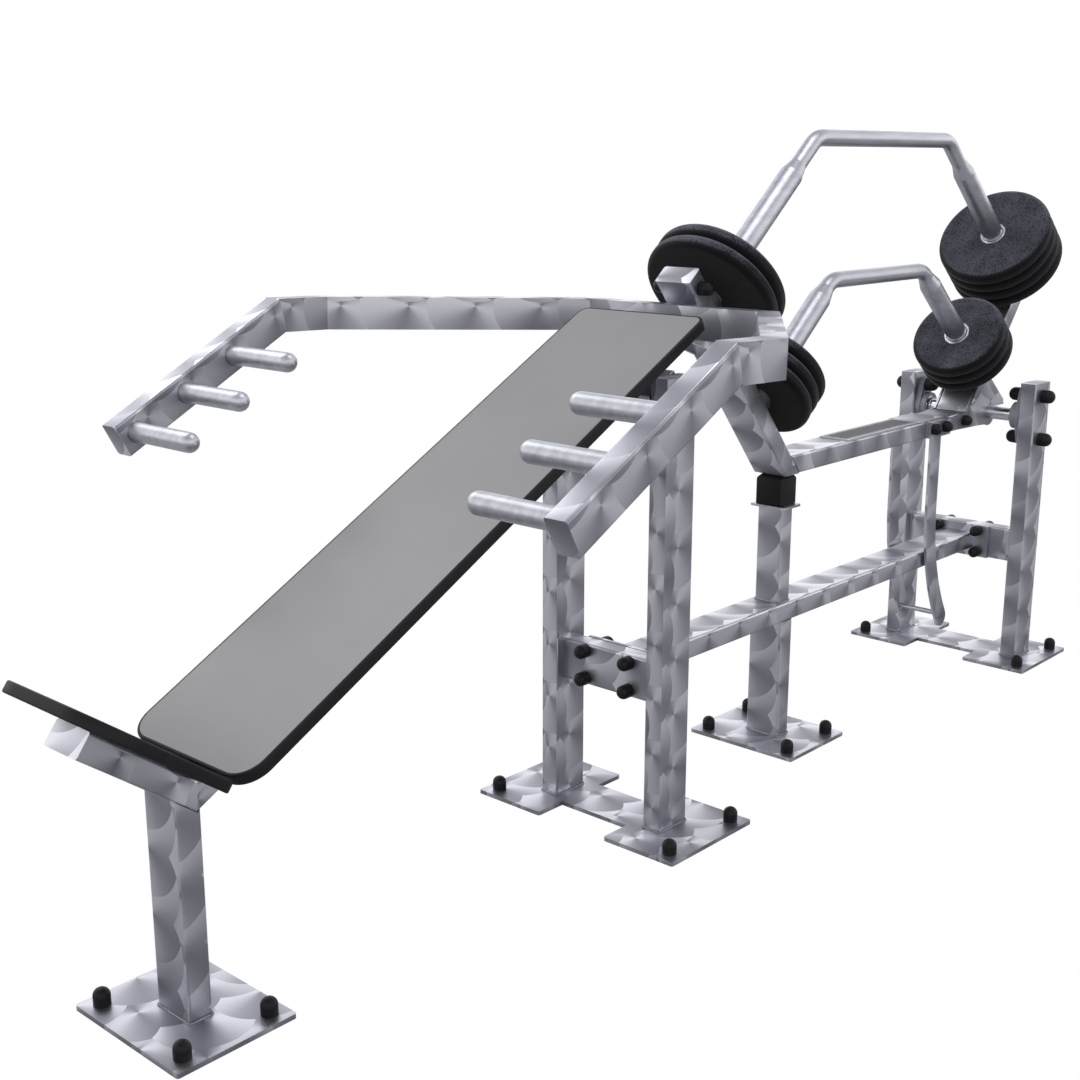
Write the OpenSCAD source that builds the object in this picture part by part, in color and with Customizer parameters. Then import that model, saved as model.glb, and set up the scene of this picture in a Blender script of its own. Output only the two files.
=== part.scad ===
// Outdoor bench press with a pivoted lever frame and captive sliding discs.
// Frame: origin on the floor under the centre of the seat base plate, +X towards the
// rear columns, +Y to the left of a person on the bench, +Z up. Millimetres.

/* [Steel tubes] */
// Wide side of the frame tubes
tube_w = 80; // [70:1:100]
// Narrow side of the frame tubes
tube_h = 40; // [36:1:50]
// Wall of every square tube
tube_wall = 3; // [2:0.5:4]
// Outer corner radius of every square tube
tube_round = 4.5; // [4.5:0.5:8]
// Thickness of the plate that closes a tube end
end_plate_t = 4; // [3:1:8]

/* [Base plates] */
// Thickness of the four base plates
base_t = 8; // [6:1:12]
// Length of the two single base plates along X
base_l = 205; // [190:1:260]
// Width of the two single base plates along Y
base_w = 257; // [230:1:320]
// Length of the two double base plates along X
pair_l = 242; // [200:1:300]
// Overall width of the two double base plates along Y
pair_w = 475; // [475:1:560]
// Width of each pad of a double base plate along Y
pad_w = 158; // [140:1:180]
// Length along X of the strip that joins the two pads
strip_l = 108; // [90:1:150]
// Distance of an anchor hole from the plate's edges
anchor_edge = 28; // [24:1:34]
// Anchor hole diameter
anchor_d = 14; // [13:0.5:16]

/* [Places along the bench] */
// Front columns, centre
front_x = 970; // [940:1:1000]
// Middle post, centre
middle_x = 1494; // [1450:1:1520]
// Rear columns and lever pivot, centre
rear_x = 2356; // [2330:1:2420]
// Centre of each front column to either side
front_y = 126; // [115:1:150]
// Centre of each rear column to either side
rear_y = 159; // [150:1:175]
// Height of the front columns
front_top = 843; // [830:1:850]
// Height of the rear columns
rear_top = 689; // [680:1:760]
// Underside of the two crossbars
crossbar_z = 244; // [200:1:300]

/* [Seat and backrest] */
// X of the line where the seat beam and the backrest beam meet, top faces
hip_x = 17; // [10:1:20]
// Height of that line
hip_z = 371; // [350:0.5:400]
// Slope of the seat, front edge up
seat_angle = 36.6; // [30:0.1:40]
// Slope of the backrest
back_angle = 28.2; // [27:0.1:28.5]
// Length of the seat board
seat_l = 247; // [210:1:300]
// Length of the backrest board
back_l = 1156; // [1130:1:1165]
// Width of both boards
board_w = 283; // [240:1:320]
// Thickness of the seat board
seat_t = 18; // [16:1:25]
// Thickness of the backrest board
back_t = 20; // [16:1:25]
// Gap from the hip line to the seat board
seat_gap = 17; // [15:1:30]
// Gap from the hip line to the backrest board
back_gap = 14; // [12:1:30]
// Board beyond the end of the seat beam
seat_overhang = 68; // [50:1:80]
// Board beyond the end of the backrest beam
back_overhang = 43; // [20:1:60]
// Radius of the two front corners of the seat
seat_round = 85; // [20:1:100]
// Radius of the two lower corners of the backrest
back_round = 45; // [20:1:60]
// Radius of the other corners of both boards
board_round_small = 20; // [10:1:30]

/* [Lever] */
// Height of the lever pivot
pivot_z = 605; // [600:1:612]
// Pivot shaft diameter
shaft_d = 32; // [20:1:34]
// Radial running clearance between shaft and bearing
shaft_play = 0.05; // [0.02:0.01:0.1]
// Top face of the lever beam
lever_z = 618; // [616:1:622]
// Lean of the front leg and the rear mast from the floor
leg_angle = 50; // [48:1:52]
// Length of the front leg along its front face
leg_l = 536; // [500:1:560]
// Length of the rear mast along its front face
mast_l = 517; // [480:1:560]
// X where the front face of the rear mast leaves the lever beam
mast_x = 2242; // [2230:1:2250]
// Gap between the front leg and the rubber buffer at rest
buffer_gap = 0.4; // [0.3:0.1:1]
// Height of the rubber buffer
buffer_h = 65; // [50:1:80]
// Side of the rubber buffer
buffer_w = 60; // [50:1:70]

/* [Hoops and spindles] */
// Hoop tube diameter
hoop_d = 33.7; // [30:0.1:38]
// Hoop tube wall
hoop_wall = 3.2; // [2:0.1:5]
// Centre line radius of the hoop bends
hoop_bend = 60; // [50:1:80]
// Diameter of the spindle sleeves
sleeve_d = 48.3; // [46:0.1:50]
// Length of the cone at the end of each sleeve
cone_l = 30; // [20:1:40]
// Distance up the front leg to the outer hoop
outer_leg_at = 436.3; // [425:0.1:445]
// Distance up the front leg to the inner hoop
inner_leg_at = 163.6; // [160:0.1:180]
// Distance up the rear mast to the outer hoop
outer_mast_at = 419.5; // [410:0.1:430]
// Distance up the rear mast to the inner hoop
inner_mast_at = 145.6; // [140:0.1:165]
// Height of the top run of the outer hoop
outer_top = 1249; // [1235:1:1290]
// Height of the top run of the inner hoop
inner_top = 961; // [955:1:980]
// Length of the outer sleeves
outer_sleeve_l = 370; // [340:1:380]
// Length of the inner sleeves
inner_sleeve_l = 305; // [290:1:310]

/* [Discs] */
// Thickness of a disc
disc_t = 30; // [22:1:31]
// Diameter of the discs on the outer hoop
outer_disc_d = 272; // [220:1:280]
// Diameter of the discs on the inner hoop
inner_disc_d = 221; // [180:1:226]
// Radial play of a disc on its sleeve
disc_play = 0.6; // [0.4:0.1:1.5]
// Edge radius of a disc
disc_round = 12; // [4:1:14]
// Diameter of the stop collars
collar_d = 62; // [56:1:70]
// Length of the stop collars
collar_l = 24; // [15:1:26]
// Gap between neighbouring discs at rest
disc_gap = 0.3; // [0.3:0.1:1]

/* [Handle frame] */
// Height of the handle tube
arm_h = 60; // [50:1:65]
// Width of the handle tube
arm_w = 40; // [36:1:50]
// Overall width over both arms
arms_w = 1036; // [1000:1:1100]
// Length of each sloping arm
arm_l = 399; // [380:1:440]
// Slope of the arms
arm_angle = 28.2; // [25:0.1:32]
// X of the bend at the rear of the arms, top face
bend_x = 597; // [580:1:620]
// Height of that bend
bend_z = 964; // [958:1:985]
// Fall of the rear part of the handle frame
yoke_fall = 1.8; // [0:0.1:4]
// Straight part behind each bend
shoulder_l = 122.5; // [100:0.5:150]
// Half length of the cross tube, outer corner
yoke_y = 213; // [180:1:240]
// Grip diameter
grip_d = 34; // [28:1:40]
// Reach of a grip from the arm to its tip
grip_l = 167; // [140:1:180]
// Distance between grips along the arm
grip_pitch = 116; // [100:1:120]
// First grip from the front end of the arm
grip_first = 30.5; // [25:0.5:40]

/* [Stirrup] */
// Width of the stirrup bars
stirrup_w = 45; // [40:1:50]
// Thickness of the stirrup bars and their packers
stirrup_t = 6; // [5:1:8]
// X of the straight part of the stirrup
stirrup_x = 2079.5; // [2070:0.5:2085]
// Height where the stirrup starts to curve
stirrup_curve_z = 408; // [400:1:415]
// Centre line radius of the curve
stirrup_r = 530; // [500:5:560]
// Angle of the curve
stirrup_sweep = 32.5; // [30:0.5:34]
// Stirrup rod diameter
rod_d = 12; // [10:1:14]

/* [Fasteners] */
// Frame bolt diameter
bolt_d = 12; // [10:1:12]
// Bearing bolt diameter
bearing_bolt_d = 16; // [14:1:16]
// Play of a bolt in its hole, on the radius
bolt_play = 0.5; // [0.3:0.1:1]
// Distance of each beam bolt from the middle of its crossbar, sideways
beam_bolt_y = 52; // [50:1:65]
// Distance of each beam bolt from the middle of its crossbar, up and down
beam_bolt_z = 27; // [22:1:28]
// Distance of each bearing bolt from the pivot
bearing_bolt_z = 52; // [50:0.5:55]

/* [Hidden] */
$fn = 64;

// Colours
steel = "#a9b0b8";
laminate = "#8b8f92";
rubber = "#1b1b1c";
cap_black = "#202022";
bright = "#c9ccd0";
cast = "#5c6064";

// A side larger than anything here, for half spaces
big = 4000;

// Directions and points in the XZ plane
function dir(a) = [cos(a), sin(a)];
function from(p, a, d) = p + d * dir(a);

// Seat and backrest
hip = [hip_x, hip_z];
mitre_angle = (back_angle - seat_angle) / 2;
seat_front = from(hip, 180 - seat_angle, seat_gap + seat_l);
seat_beam_l = seat_gap + seat_l - seat_overhang;
back_beam_l = back_gap + back_l - back_overhang;
under_seat = from(hip, -90 - seat_angle, tube_h);
under_back = from(hip, back_angle - 90, tube_h);
// Along the backrest to the crossbar that carries it, over the front columns
back_bar_at = (front_x - hip_x - 1.5 * tube_h * sin(back_angle)) / cos(back_angle);

// Screws that hold the boards, along each beam from the hip line
screw_d = 8;
screw_bite = 12;
screw_y = 25;
screw_head_r = screw_d * 0.93;
screw_head_h = 5.3;
screw_reach = 2;
screw_from_hip = 60;
screw_from_end = 40;
back_screw_first = 80;
back_screw_last = back_bar_at - tube_w - 70;
seat_screws = [screw_from_hip, seat_beam_l - screw_from_end];
back_screws = [for (i = [0:3]) back_screw_first + i * (back_screw_last - back_screw_first) / 3];

// Lower frame
beam_top = crossbar_z + tube_w / 2 + tube_h / 2;
beam_bottom = beam_top - tube_h;
crossbar_mid = crossbar_z + tube_w / 2;
flange_t = 8;
flange_w = 160;
stop_t = 5;
stop_w = 84;
stop_l = 64;
upper_post_w = 60;
buffer_chamfer = 10;

// Lever
lever_bottom = lever_z - tube_h;
// The foot of the leg stands just below the lever beam, so that only it meets the buffer
leg_proud = 0.6;
leg_bottom = lever_bottom - leg_proud;
buffer_top = leg_bottom - buffer_gap;
upper_post_top = buffer_top - buffer_h - stop_t;
leg_dir = 180 - leg_angle;
spin_front = 90 - leg_angle;
// Foot of the front leg's front face, over the buffer
leg_foot = [middle_x - tube_h / sin(leg_angle) / 2, leg_bottom];
mast_foot = [mast_x, lever_z];
pivot = [rear_x, pivot_z];
hub_wall = 6.5;
hub_gap = 1;
hub_r = shaft_d / 2 + hub_wall;
lever_end = rear_x - hub_r - hub_gap;
gusset_t = 5;
bearing_depth = 27;
bearing_flange_t = 13;
bearing_boss_r = 34;
boss_step = 2;
bearing_bore_r = 26;
insert_w = 34;
insert_back = 4;
insert_front = 2;
insert_ring_t = 4.5;
rear_inner = rear_y - tube_h / 2;
// Nameplate on the lever beam
plate_l = 311;
plate_w = tube_w - 8;
plate_x = 1866;
plate_t = 2.5;
plate_round = 3;
leg_bolt_at = leg_l - 31;

// Lever bolts: two at the stirrup head, one through the gusset plates
head_l = 96;
head_inset = 1;
head_mid = 19.5;
stirrup_bolt_first = stirrup_x - 14.5;
stirrup_bolt_pitch = 52;
stirrup_bolts = [stirrup_bolt_first, stirrup_bolt_first + stirrup_bolt_pitch];
gusset_bolt = 2228;
bolt_rise = 2;
lever_bolt_z = lever_z - tube_h / 2 + bolt_rise;
bar_out = tube_w / 2 + 2 * stirrup_t;

// Hoops: a start on the leg or mast, then the corner of the bend
function on_leg(t) = from(leg_foot, leg_dir, t);
function on_mast(u) = from(mast_foot, leg_angle, u);
function rise(p, top) = (top - p[1]) / sin(spin_front);
outer_front = from(on_leg(outer_leg_at), spin_front, tube_h);
inner_front = from(on_leg(inner_leg_at), spin_front, tube_h);
outer_rear = on_mast(outer_mast_at);
inner_rear = on_mast(inner_mast_at);
bend_thin = 0.1;
bend_lap = 1;
sleeve_wall = 3;
sleeve_ring = 5;
cone_tip = 0.5;
collar_chamfer = 3;

// Nuts and caps
nut_r = bolt_d * 0.914;
nut_h = bolt_d * 0.85;
bearing_nut_r = bearing_bolt_d * 0.866;
bearing_nut_h = bearing_bolt_d * 0.8;
washer_t = 2.5;
washer_rim = 0.2;
thread_play = 0.2;
cap_wall = 1.6;
cap_play = 0.6;
cap_round = 0.92;
cap_h = 27;
bearing_cap_h = 30;
low_nut_h = 6;
low_cap_h = 19.5;
bolt_cap_r = nut_r + cap_play + cap_wall;
bearing_cap_r = bearing_nut_r + cap_play + cap_wall;

// Handle frame
bend = [bend_x, bend_z];
arm_front = from(bend, arm_angle + 180, arm_l);
arm_y = (arms_w - arm_w) / 2;
bend_mitre = (arm_angle - yoke_fall) / 2;
// Length of the rear part, so that its rear top edge meets the front leg
yoke_l = ((leg_foot[0] - bend_x) * sin(leg_angle) - (bend_z - leg_bottom) * cos(leg_angle))
    / sin(leg_angle - yoke_fall);
chamfer = atan2(arms_w / 2 - yoke_y, yoke_l - shoulder_l);

// ---------------------------------------------------------------- shapes

// Rectangle with round corners, centred
module soft_rect(w, h, r) {
    square([w - 2 * r, h], center = true);
    square([w, h - 2 * r], center = true);
    for (x = [-1, 1], y = [-1, 1]) translate([x * (w / 2 - r), y * (h / 2 - r)]) circle(r);
}

// Tube section, the outside or the hollow in it
module section(w, h) soft_rect(w, h, tube_round);
module hollow(w, h) soft_rect(w - 2 * tube_wall, h - 2 * tube_wall, tube_round - tube_wall);
module ring(w, h) difference() {
    section(w, h);
    hollow(w, h);
}

// Moves children to a point of the XZ plane with their +X along angle a
module along(p, a) translate([p[0], 0, p[1]]) rotate([0, -a, 0]) children();

// Extrusion along +X of a section in YZ whose top face is at z = 0
module run(l, h) translate([0, 0, -h / 2]) rotate([90, 0, 90]) linear_extrude(l) children();

// Everything on the side of point p that angle a points to
module side_of(p, a) along(p, a) translate([0, -big / 2, -big / 2]) cube(big);

// Extrusion along Y, centred, of an outline drawn in XZ
module across(w, y = 0) translate([0, y, 0]) rotate([90, 0, 0]) linear_extrude(w, center = true) children();

// Upright tube closed at the top
module upright(x, y, lx, wy, z0, z1) translate([x, y, z0]) difference() {
    linear_extrude(z1 - z0) section(lx, wy);
    translate([0, 0, -1]) linear_extrude(z1 - z0 - end_plate_t + 1) hollow(lx, wy);
}

// Round bar along Y, centred
module pin_y(p, r, w, y = 0) translate([p[0], y, p[1]]) rotate([90, 0, 0]) cylinder(r = r, h = w, center = true);

// Board with two large and two small corner radii, top face at z = t, from x = 0
module board(l, t, r0, r1) linear_extrude(t) {
    for (s = [-1, 1]) {
        translate([r0, s * (board_w / 2 - r0)]) circle(r0);
        translate([l - r1, s * (board_w / 2 - r1)]) circle(r1);
    }
    translate([r0, -board_w / 2]) square([l - r0 - r1, board_w]);
    translate([0, -board_w / 2 + r0]) square([r0 + 1, board_w - 2 * r0]);
    translate([l - r1 - 1, -board_w / 2 + r1]) square([r1 + 1, board_w - 2 * r1]);
}

// Blind or through holes for the board screws, +Z out of the beam's top face
module at_screws(places, sign) for (d = places, y = [-screw_y, screw_y]) translate([sign * d, y, 0]) children();

// Domed hollow cap that stands on z = 0
module dome(r, h) rotate_extrude() difference() {
    union() {
        square([r, h - r * cap_round]);
        square([r * (1 - cap_round), h]);
        translate([r * (1 - cap_round), h - r * cap_round]) intersection() {
            circle(r * cap_round);
            square(r);
        }
    }
    translate([-1, -1]) square([r - cap_wall + 1, h - r * cap_round + 1]);
}

// Hexagon nut or head standing on z = 0
module hex(r, h) cylinder(r = r, h = h, $fn = 6);

// Bolt along +Z from z = 0 to z = l, a head under it and a nut above
module bolt(r, l, hex_r, hex_h) {
    translate([0, 0, -hex_h]) hex(hex_r, hex_h);
    cylinder(r = r, h = l);
    translate([0, 0, l]) hex(hex_r, hex_h);
}

// ---------------------------------------------------------------- base plates

module anchor_spots(sx, sy) for (x = [-1, 1], y = [-1, 1]) translate([x * sx, y * sy, 0]) children();

module single_spots() anchor_spots(base_l / 2 - anchor_edge, base_w / 2 - anchor_edge) children();

module pair_spots() anchor_spots(pair_l / 2 - anchor_edge, pair_w / 2 - anchor_edge) children();

module every_anchor() {
    for (x = [0, middle_x]) translate([x, 0, 0]) single_spots() children();
    for (x = [front_x, rear_x]) translate([x, 0, 0]) pair_spots() children();
}

module anchor_hole() translate([0, 0, -1]) cylinder(d = anchor_d, h = base_t + 2);

module single_base(x) color(steel) translate([x, 0, 0]) difference() {
    linear_extrude(base_t) soft_rect(base_l, base_w, tube_round);
    single_spots() anchor_hole();
}

module pair_base(x) color(steel) translate([x, 0, 0]) difference() {
    linear_extrude(base_t) {
        square([strip_l, pair_w - 2 * pad_w + 2], center = true);
        for (s = [-1, 1]) translate([0, s * (pair_w - pad_w) / 2]) soft_rect(pair_l, pad_w, tube_round);
    }
    pair_spots() anchor_hole();
}

module seat_base_plate() single_base(0);

module middle_base_plate() single_base(middle_x);

module front_base_plate() pair_base(front_x);

module rear_base_plate() pair_base(rear_x);

module anchor_nuts() color(bright) every_anchor() translate([0, 0, base_t]) difference() {
    union() {
        cylinder(r = nut_r + washer_rim, h = washer_t);
        translate([0, 0, washer_t]) hex(nut_r, nut_h);
    }
    translate([0, 0, -1]) cylinder(r = bolt_d / 2 + thread_play, h = washer_t + nut_h + 2);
}

module anchor_caps() color(cap_black) every_anchor() translate([0, 0, base_t]) dome(bolt_cap_r, cap_h);

// ---------------------------------------------------------------- bench

module seat_post() color(steel) difference() {
    upright(0, 0, tube_h, tube_w, base_t, hip_z);
    intersection() {
        side_of(under_seat, 90 - seat_angle);
        side_of(under_back, 90 + back_angle);
    }
}

module seat_beam() color(steel) difference() {
    intersection() {
        along(from(hip, 180 - seat_angle, seat_beam_l), -seat_angle) difference() {
            run(seat_beam_l + tube_w, tube_h) section(tube_w, tube_h);
            translate([end_plate_t, 0, 0]) run(seat_beam_l + tube_w, tube_h) hollow(tube_w, tube_h);
        }
        side_of(hip, mitre_angle + 180);
    }
    along(hip, -seat_angle) at_screws(seat_screws, -1) screw_way();
}

module backrest_beam() color(steel) difference() {
    intersection() {
        along(from(hip, back_angle, -tube_w), back_angle) difference() {
            run(back_beam_l + tube_w, tube_h) section(tube_w, tube_h);
            translate([-end_plate_t, 0, 0]) run(back_beam_l + tube_w, tube_h) hollow(tube_w, tube_h);
        }
        side_of(hip, mitre_angle);
    }
    along(hip, back_angle) at_screws(back_screws, 1) screw_way();
}

// The hole of a screw in a beam's top wall and the wider one below it for the spanner
module screw_way() {
    translate([0, 0, -tube_h - 1]) cylinder(r = screw_head_r + screw_reach, h = tube_wall + 2);
    translate([0, 0, -tube_wall - 1]) cylinder(r = screw_d / 2 + bolt_play, h = tube_wall + 2);
}

module blind_way() translate([0, 0, -1]) cylinder(r = screw_d / 2, h = screw_bite + 1);

module seat_board() color(laminate) difference() {
    along(seat_front, -seat_angle) board(seat_l, seat_t, seat_round, board_round_small);
    along(hip, -seat_angle) at_screws(seat_screws, -1) blind_way();
}

module backrest_board() color(laminate) difference() {
    along(from(hip, back_angle, back_gap), back_angle) board(back_l, back_t, back_round, board_round_small);
    along(hip, back_angle) at_screws(back_screws, 1) blind_way();
}

module board_screw() translate([0, 0, -tube_wall]) {
    cylinder(r = screw_d / 2, h = tube_wall + screw_bite);
    translate([0, 0, -screw_head_h]) hex(screw_head_r, screw_head_h);
}

module board_screws() color(bright) {
    along(hip, -seat_angle) at_screws(seat_screws, -1) board_screw();
    along(hip, back_angle) at_screws(back_screws, 1) board_screw();
}

// ---------------------------------------------------------------- columns and lower frame

module front_column(side) color(steel) upright(front_x, side * front_y, tube_w, tube_h, base_t, front_top);

module front_column_left() front_column(1);

module front_column_right() front_column(-1);

// The four beam bolts of a crossbar, along +X from x
module at_beam_bolts(x) for (y = [-1, 1], z = [-1, 1])
    translate([x, y * beam_bolt_y, crossbar_mid + z * beam_bolt_z]) rotate([0, 90, 0]) children();

module bolt_way(d, l) translate([0, 0, -1]) cylinder(r = d / 2 + bolt_play, h = l + 2);

module crossbar(x, w) color(steel) difference() {
    translate([x, 0, crossbar_mid]) rotate([90, 0, 0]) linear_extrude(w, center = true) ring(tube_h, tube_w);
    at_beam_bolts(x - tube_h / 2) bolt_way(bolt_d, tube_h);
}

module front_crossbar() crossbar(front_x, 2 * front_y - tube_h);

module rear_crossbar() crossbar(rear_x, 2 * rear_y - tube_h);

module backrest_crossbar() color(steel) along(from(hip, back_angle, back_bar_at), back_angle)
    translate([0, 0, -1.5 * tube_h]) rotate([90, 0, 0])
        linear_extrude(2 * front_y - tube_h, center = true) ring(tube_w, tube_h);

beam_from = front_x + tube_h / 2;
beam_to = rear_x - tube_h / 2;

module lower_beam() color(steel) {
    along([beam_from, beam_top], 0) run(beam_to - beam_from, tube_h) ring(tube_w, tube_h);
    for (x = [beam_from, beam_to - flange_t]) difference() {
        translate([x, -flange_w / 2, crossbar_z]) cube([flange_t, flange_w, tube_w]);
        translate([x - 1, 0, crossbar_mid]) rotate([90, 0, 90]) linear_extrude(flange_t + 2) hollow(tube_w, tube_h);
        at_beam_bolts(x) bolt_way(bolt_d, flange_t);
    }
}

module middle_lower_post() color(steel)
    upright(middle_x, 0, tube_h, tube_w, base_t, beam_bottom);

module middle_upper_post() color(steel) {
    translate([middle_x, 0, beam_top]) linear_extrude(upper_post_top - beam_top) ring(tube_h, upper_post_w);
    translate([middle_x, 0, upper_post_top]) linear_extrude(stop_t) soft_rect(stop_l, stop_w, tube_round);
}

module rubber_buffer() color(rubber) intersection() {
    translate([middle_x, 0, upper_post_top + stop_t]) linear_extrude(buffer_h) square(buffer_w, center = true);
    across(2 * buffer_w) buffer_side();
    translate([middle_x, 0, 0]) rotate([0, 0, 90]) translate([-middle_x, 0, 0]) across(2 * buffer_w) buffer_side();
}

// Side of the buffer, chamfered at the top
module buffer_side() polygon([
    [middle_x - buffer_w / 2, 0],
    [middle_x - buffer_w / 2, buffer_top - buffer_chamfer],
    [middle_x - buffer_w / 2 + buffer_chamfer / 2, buffer_top],
    [middle_x + buffer_w / 2 - buffer_chamfer / 2, buffer_top],
    [middle_x + buffer_w / 2, buffer_top - buffer_chamfer],
    [middle_x + buffer_w / 2, 0]]);

module at_bearing_bolts() for (s = [-1, 1], z = [-1, 1])
    translate([rear_x, s * rear_inner, pivot_z + z * bearing_bolt_z]) rotate([-s * 90, 0, 0]) children();

module rear_column(side) color(steel) difference() {
    upright(rear_x, side * rear_y, tube_w, tube_h, base_t, rear_top);
    at_bearing_bolts() bolt_way(bearing_bolt_d, tube_h);
}

module rear_column_left() rear_column(1);

module rear_column_right() rear_column(-1);

// Oval flange bearing on the inner face of each rear column
flange_end_r = 18;
flange_lean = acos((bearing_boss_r - flange_end_r) / bearing_bolt_z);

module oval_flange() {
    circle(bearing_boss_r);
    for (s = [-1, 1]) {
        translate([0, s * bearing_bolt_z]) circle(flange_end_r);
        polygon([for (e = [[-1, bearing_boss_r - 0.2, 0], [-1, flange_end_r - 0.2, bearing_bolt_z],
                           [1, flange_end_r - 0.2, bearing_bolt_z], [1, bearing_boss_r - 0.2, 0]])
            [e[0] * e[1] * sin(flange_lean), s * (e[2] + e[1] * cos(flange_lean))]]);
    }
}

module bearing_housings() color(cast) for (s = [-1, 1])
    translate([rear_x, s * rear_inner, pivot_z]) rotate([s * 90, 0, 0]) difference() {
        union() {
            linear_extrude(bearing_flange_t) oval_flange();
            translate([0, 0, bearing_flange_t])
                cylinder(r = bearing_boss_r - boss_step, h = bearing_depth - bearing_flange_t);
        }
        translate([0, 0, -1]) cylinder(r = bearing_bore_r, h = bearing_depth + 2);
        for (z = [-1, 1]) translate([0, z * bearing_bolt_z, 0]) bolt_way(bearing_bolt_d, bearing_flange_t);
    }

module bearing_inserts() color(bright) for (s = [-1, 1])
    translate([rear_x, s * rear_inner, pivot_z]) rotate([s * 90, 0, 0]) difference() {
        union() {
            translate([0, 0, insert_back])
                cylinder(r = bearing_bore_r, h = bearing_depth - insert_back - insert_front);
            translate([0, 0, insert_back]) cylinder(r = shaft_d / 2 + insert_ring_t, h = insert_w - insert_back);
        }
        translate([0, 0, -1]) cylinder(r = shaft_d / 2 + shaft_play, h = insert_w + 2);
    }

module frame_bolts() color(bright) {
    at_beam_bolts(front_x - tube_h / 2) bolt(bolt_d / 2, tube_h + flange_t, nut_r, nut_h);
    at_beam_bolts(rear_x - tube_h / 2 - flange_t) bolt(bolt_d / 2, tube_h + flange_t, nut_r, nut_h);
    at_bearing_bolts() translate([0, 0, -bearing_flange_t])
        bolt(bearing_bolt_d / 2, tube_h + bearing_flange_t, bearing_nut_r, bearing_nut_h);
}

module both_ends(l) {
    translate([0, 0, l]) children();
    mirror([0, 0, 1]) children();
}

module frame_bolt_caps() color(cap_black) {
    for (x = [front_x - tube_h / 2, rear_x - tube_h / 2 - flange_t])
        at_beam_bolts(x) both_ends(tube_h + flange_t) dome(bolt_cap_r, cap_h);
    at_bearing_bolts() translate([0, 0, -bearing_flange_t])
        both_ends(tube_h + bearing_flange_t) dome(bearing_cap_r, bearing_cap_h);
}

// ---------------------------------------------------------------- lever

module pivot_shaft() color(bright) pin_y(pivot, shaft_d / 2, 2 * rear_inner - 4);

module pivot_hub() color(steel) difference() {
    pin_y(pivot, hub_r, tube_w);
    pin_y(pivot, shaft_d / 2, tube_w + 2);
}

module at_lever_bolts() {
    for (x = stirrup_bolts) translate([x, -bar_out, lever_bolt_z]) rotate([-90, 0, 0]) children();
}

module lever_bolt_ways() for (x = concat(stirrup_bolts, [gusset_bolt]))
    pin_y([x, lever_bolt_z], bolt_d / 2 + bolt_play, big);

module lever_beam() color(steel) difference() {
    intersection() {
        along([leg_foot[0], lever_z], 0) run(lever_end - leg_foot[0], tube_h) ring(tube_w, tube_h);
        side_of(from(leg_foot, spin_front, tube_h), spin_front);
    }
    lever_bolt_ways();
}

module nameplate() color(bright)
    translate([plate_x, 0, lever_z]) linear_extrude(plate_t) soft_rect(plate_l, plate_w, plate_round);

leg_bolt = from(from(leg_foot, leg_dir, leg_bolt_at), spin_front, tube_h / 2);

module front_leg() color(steel) difference() {
    intersection() {
        along(from(leg_foot, leg_dir, -tube_w), leg_dir) run(tube_w + leg_l, tube_h) section(tube_w, tube_h);
        side_of(leg_foot, 90);
    }
    intersection() {
        along(from(leg_foot, leg_dir, -tube_w), leg_dir)
            run(tube_w + leg_l - end_plate_t, tube_h) hollow(tube_w, tube_h);
        side_of(from(leg_foot, 90, end_plate_t), 90);
    }
    pin_y(leg_bolt, bolt_d / 2 + bolt_play, big);
}

module rear_mast() color(steel) difference() {
    intersection() {
        along(from(mast_foot, leg_angle, -tube_w), leg_angle) run(tube_w + mast_l, tube_h) section(tube_w, tube_h);
        side_of(mast_foot, 90);
    }
    along(from(mast_foot, leg_angle, -tube_w), leg_angle)
        run(tube_w + mast_l - end_plate_t, tube_h) hollow(tube_w, tube_h);
}

// Side plates that tie beam, mast and pivot together
boss_r = 33;
mast_back = from(mast_foot, leg_angle - 90, tube_h);
gusset_nose = gusset_bolt - 55;
gusset_inset = 4;
gusset_up = 126;
// Tail behind the mast, from the pivot, and heel under the beam
gusset_tail = [[74, 24], [78, 11], [24, 11]];
gusset_heel = [gusset_bolt + 72, lever_bottom];

module gusset_outline() difference() {
    union() {
        polygon(concat([
            [gusset_nose, lever_bottom + gusset_inset], [gusset_nose, lever_z - gusset_inset],
            [mast_x + 1, lever_z + 2], from(mast_foot, leg_angle, gusset_up), from(mast_back, leg_angle, gusset_up)],
            [for (t = gusset_tail) pivot + t], [[rear_x, lever_bottom - 3], gusset_heel]));
        translate(pivot) circle(boss_r);
    }
    translate(pivot) circle(shaft_d / 2);
    translate([gusset_bolt, lever_bolt_z]) circle(bolt_d / 2 + bolt_play);
}

module gusset_plates() color(steel) for (s = [-1, 1]) across(gusset_t, s * (tube_w + gusset_t) / 2) gusset_outline();

// Round tube section, drawn in by e on both faces
module hoop_ring(e) difference() {
    circle(hoop_d / 2 - e);
    circle(hoop_d / 2 - hoop_wall + e);
}

// Straight piece of the hoop along +Z that laps over the bends by lap0 and lap1
module hoop_run(l, lap0, lap1) translate([0, 0, -lap0]) linear_extrude(l + lap0 + lap1) hoop_ring(0);

// A bend towards +X of a tube that runs along +Z, and what follows it; the wall thins a little in the bend
module hoop_turn() {
    translate([hoop_bend, 0, 0]) mirror([1, 0, 0]) rotate([90, 0, 0])
        rotate_extrude(angle = spin_front) translate([hoop_bend, 0]) hoop_ring(bend_thin);
    translate([hoop_bend, 0, 0]) rotate([0, spin_front, 0]) translate([-hoop_bend, 0, 0]) children();
}

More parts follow.
